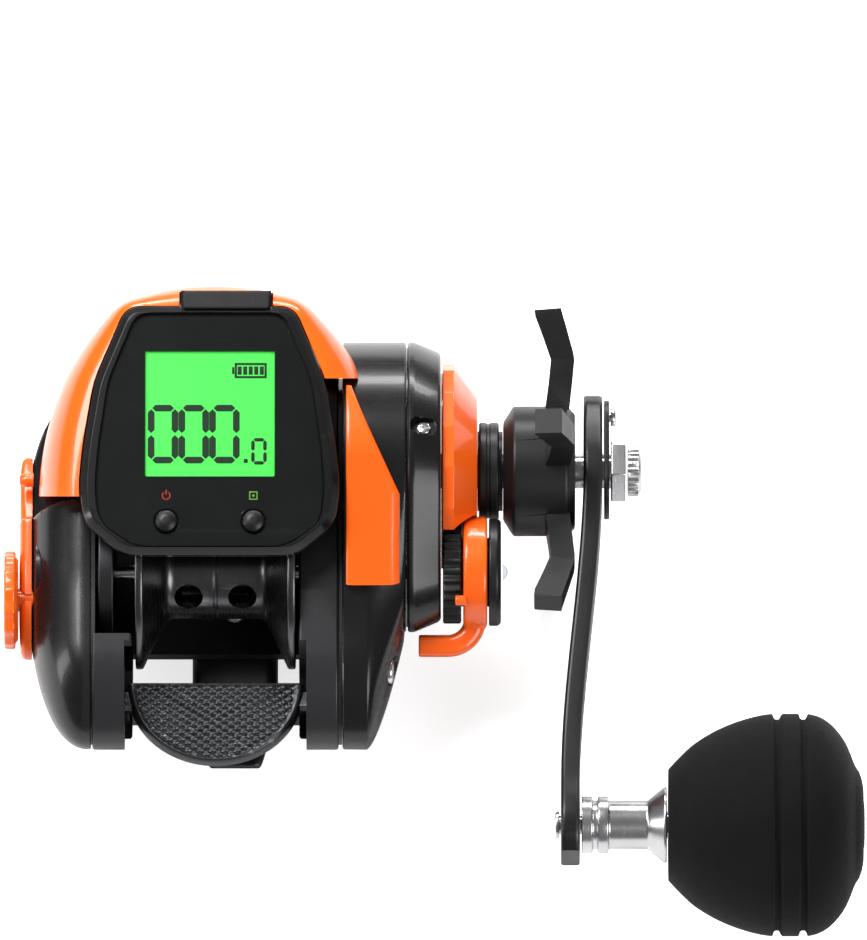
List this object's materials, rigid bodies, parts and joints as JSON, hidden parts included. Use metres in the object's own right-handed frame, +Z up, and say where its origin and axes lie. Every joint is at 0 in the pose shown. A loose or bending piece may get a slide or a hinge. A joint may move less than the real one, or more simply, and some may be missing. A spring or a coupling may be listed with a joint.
{
  "type": "baitcasting reel",
  "caption": "Low-profile baitcasting reel with a line-counter display, star drag, thumb bar, level wind and a crank with one round knob.",
  "frame": {"origin": "on the flat underside of the reel foot, straight below the middle of the spool", "axes": "+X along the spool's axis toward the crank, +Y the way the line leaves, +Z up from the foot"},
  "size_m": [0.1501, 0.1148, 0.058],
  "materials": {
    "steel": "satin",
    "orange": "satin gloss orange",
    "dark_steel": "dark anodised",
    "spool_metal": "bright grey anodised",
    "board_green": "solder mask green",
    "yoke_plastic": "satin",
    "black_gloss": "satin gloss black",
    "lens": "polished black",
    "black_satin": "satin black",
    "carbon": "woven carbon fibre",
    "ceramic": "polished",
    "brass": "machined",
    "graphite_metal": "dark painted metal",
    "foam": "matt closed-cell foam",
    "lcd_green": "lit liquid crystal panel",
    "clear_tint": "clear",
    "rubber": "matt"
  },
  "bodies": {
    "reel": {"main_frame": "graphite_metal", "reel_foot": "dark_steel", "foot_rivet_front": "steel", "foot_rivet_rear": "steel", "palm_side_plate": "black_gloss", "palm_side_inlay": "orange", "brake_magnet_ring": "dark_steel", "spool_bearing_left": "steel", "spool_bearing_right": "steel", "handle_side_plate": "black_gloss", "handle_side_screw": "steel", "side_trim": "orange", "gear_housing": "black_gloss", "one_way_bearing": "steel", "shaft_bearing": "steel", "drag_cover": "orange", "drag_collar": "black_satin", "tension_guard": "orange", "nose_cover": "orange", "display_housing": "black_gloss", "display_lens": "lens", "lcd_panel": "lcd_green", "circuit_board": "board_green", "battery_cell": "steel", "usb_socket": "steel", "guide_rod": "steel", "worm_guard": "graphite_metal"},
    "handle": {"drive_shaft": "steel", "main_gear": "brass", "idler_gear": "black_satin", "ratchet_wheel": "steel", "drag_washer": "carbon", "pressure_plate": "steel", "handle_arm": "graphite_metal", "handle_plate": "black_satin", "handle_nut": "steel", "nut_cap": "steel", "lock_screw": "steel", "knob_spindle": "steel"},
    "knob": {"knob_ferrule": "steel", "knob_grip": "foam", "knob_cap": "foam"},
    "star": {"star_drag": "graphite_metal"},
    "spool": {"spool": "spool_metal", "spool_shaft": "steel"},
    "yoke": {"clutch_yoke": "yoke_plastic"},
    "pinion": {"pinion_gear": "brass"},
    "thumb": {"thumb_bar": "graphite_metal"},
    "worm": {"worm_shaft": "steel", "worm_gear": "black_satin"},
    "guide": {"line_guide": "black_satin", "guide_eye": "ceramic", "guide_pawl": "brass"},
    "brake": {"brake_dial": "orange"},
    "tension": {"tension_knob": "black_satin", "tension_cap": "clear_tint"},
    "power": {"power_button": "black_gloss"},
    "set": {"set_button": "black_gloss"},
    "port_cover": {"usb_cover": "rubber"}
  },
  "joints": [
    {"name": "handle_turn", "type": "hinge", "parent": "reel", "child": "handle", "pos_m": [0.066, 0.0195, 0.0235], "axis": [1, 0, 0], "continuous": true},
    {"name": "knob_spin", "type": "hinge", "parent": "handle", "child": "knob", "pos_m": [0.09, -0.0485, 0.0235], "axis": [1, 0, 0], "continuous": true},
    {"name": "star_turn", "type": "hinge", "parent": "handle", "child": "star", "pos_m": [0.056, 0.0195, 0.0235], "axis": [1, 0, 0], "range_deg": [-270, 270]},
    {"name": "spool_spin", "type": "hinge", "parent": "reel", "child": "spool", "pos_m": [0, 0, 0.0235], "axis": [1, 0, 0], "continuous": true},
    {"name": "worm_spin", "type": "hinge", "parent": "reel", "child": "worm", "pos_m": [0, 0.0275, 0.021], "axis": [1, 0, 0], "continuous": true},
    {"name": "clutch_press", "type": "slide", "parent": "reel", "child": "thumb", "axis": [0, 0, -1], "range_m": [0, 0.0035]},
    {"name": "yoke_slide", "type": "slide", "parent": "reel", "child": "yoke", "axis": [1, 0, 0], "range_m": [0, 0.0016]},
    {"name": "pinion_spin", "type": "hinge", "parent": "yoke", "child": "pinion", "pos_m": [0.0264, 0, 0.0235], "axis": [1, 0, 0], "continuous": true},
    {"name": "guide_traverse", "type": "slide", "parent": "reel", "child": "guide", "axis": [1, 0, 0], "range_m": [-0.0075, 0.0075]},
    {"name": "brake_dial_turn", "type": "hinge", "parent": "reel", "child": "brake", "pos_m": [-0.0355, -0.0054, 0.0235], "axis": [-1, 0, 0], "range_deg": [0, 270]},
    {"name": "tension_knob_turn", "type": "hinge", "parent": "reel", "child": "tension", "pos_m": [0.045, 0, 0.0235], "axis": [1, 0, 0], "range_deg": [-180, 180]},
    {"name": "power_button_press", "type": "slide", "parent": "reel", "child": "power", "axis": [0, 0.2588, -0.9659], "range_m": [0, 0.0005], "stiffness_N_per_m": 300, "springref_m": -0.001},
    {"name": "set_button_press", "type": "slide", "parent": "reel", "child": "set", "axis": [0, 0.2588, -0.9659], "range_m": [0, 0.0005], "stiffness_N_per_m": 300, "springref_m": -0.001},
    {"name": "port_cover_open", "type": "hinge", "parent": "reel", "child": "port_cover", "pos_m": [0.0019, 0.03634, 0.05466], "axis": [1, 0, 0], "range_deg": [0, 110]}
  ],
  "couplings": [
    {"joint": "spool_spin", "follows": "handle_turn", "ratio": -7.2},
    {"joint": "pinion_spin", "follows": "handle_turn", "ratio": -7.2},
    {"joint": "worm_spin", "follows": "handle_turn", "ratio": -1},
    {"joint": "yoke_slide", "follows": "clutch_press", "ratio": 0.457}
  ]
}
